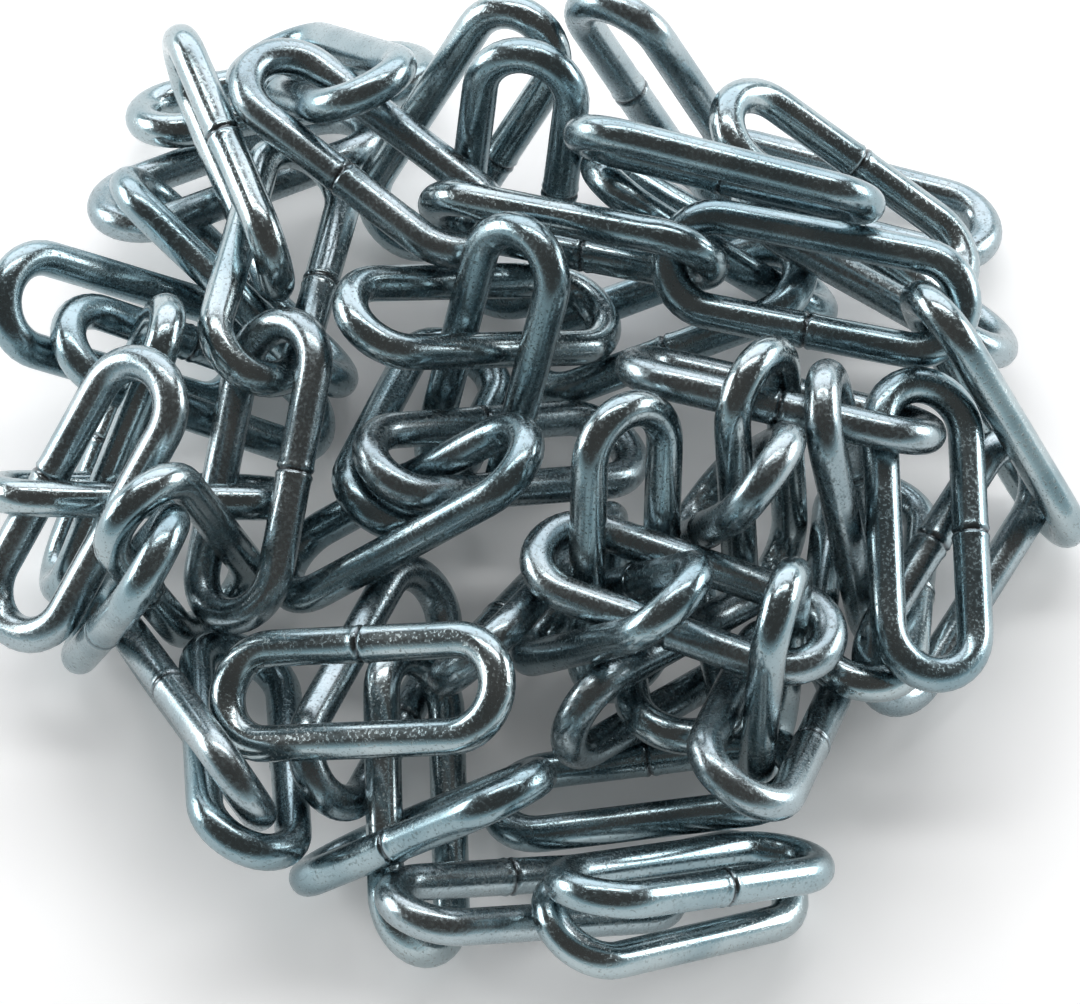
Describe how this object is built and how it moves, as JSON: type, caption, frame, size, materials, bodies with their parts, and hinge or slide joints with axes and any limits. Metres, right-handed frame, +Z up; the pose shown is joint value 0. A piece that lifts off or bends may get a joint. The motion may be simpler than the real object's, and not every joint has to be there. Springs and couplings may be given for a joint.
{
  "type": "steel chain heap",
  "caption": "Loose heap of zinc-plated steel chain with long straight links of round wire, piled as it falls.",
  "frame": {"origin": "middle of the heap's footprint, at the floor it lies on", "axes": "+Z up, +X towards the right and -Y towards the front, as the picture shows the heap"},
  "size_m": [0.152, 0.1584, 0.0504],
  "materials": {
    "zinc_plated_steel": "bright zinc plate"
  },
  "bodies": {
    "root": {"link_01": "zinc_plated_steel", "link_02": "zinc_plated_steel", "link_03": "zinc_plated_steel", "link_04": "zinc_plated_steel", "link_05": "zinc_plated_steel", "link_06": "zinc_plated_steel", "link_07": "zinc_plated_steel", "link_08": "zinc_plated_steel", "link_09": "zinc_plated_steel", "link_10": "zinc_plated_steel", "link_11": "zinc_plated_steel", "link_12": "zinc_plated_steel", "link_13": "zinc_plated_steel", "link_14": "zinc_plated_steel", "link_15": "zinc_plated_steel", "link_16": "zinc_plated_steel", "link_17": "zinc_plated_steel", "link_18": "zinc_plated_steel", "link_19": "zinc_plated_steel", "link_20": "zinc_plated_steel", "link_21": "zinc_plated_steel", "link_22": "zinc_plated_steel", "link_23": "zinc_plated_steel", "link_24": "zinc_plated_steel", "link_25": "zinc_plated_steel", "link_26": "zinc_plated_steel", "link_27": "zinc_plated_steel", "link_28": "zinc_plated_steel", "link_29": "zinc_plated_steel", "link_30": "zinc_plated_steel", "link_31": "zinc_plated_steel", "link_32": "zinc_plated_steel", "link_33": "zinc_plated_steel", "link_34": "zinc_plated_steel", "link_35": "zinc_plated_steel", "link_36": "zinc_plated_steel", "link_37": "zinc_plated_steel", "link_38": "zinc_plated_steel", "link_39": "zinc_plated_steel", "link_40": "zinc_plated_steel", "link_41": "zinc_plated_steel", "link_42": "zinc_plated_steel", "link_43": "zinc_plated_steel", "link_44": "zinc_plated_steel", "link_45": "zinc_plated_steel", "link_46": "zinc_plated_steel", "link_47": "zinc_plated_steel", "link_48": "zinc_plated_steel", "link_49": "zinc_plated_steel", "link_50": "zinc_plated_steel", "link_51": "zinc_plated_steel", "link_52": "zinc_plated_steel", "link_53": "zinc_plated_steel", "link_54": "zinc_plated_steel", "link_55": "zinc_plated_steel", "link_56": "zinc_plated_steel", "link_57": "zinc_plated_steel"}
  },
  "joints": []
}
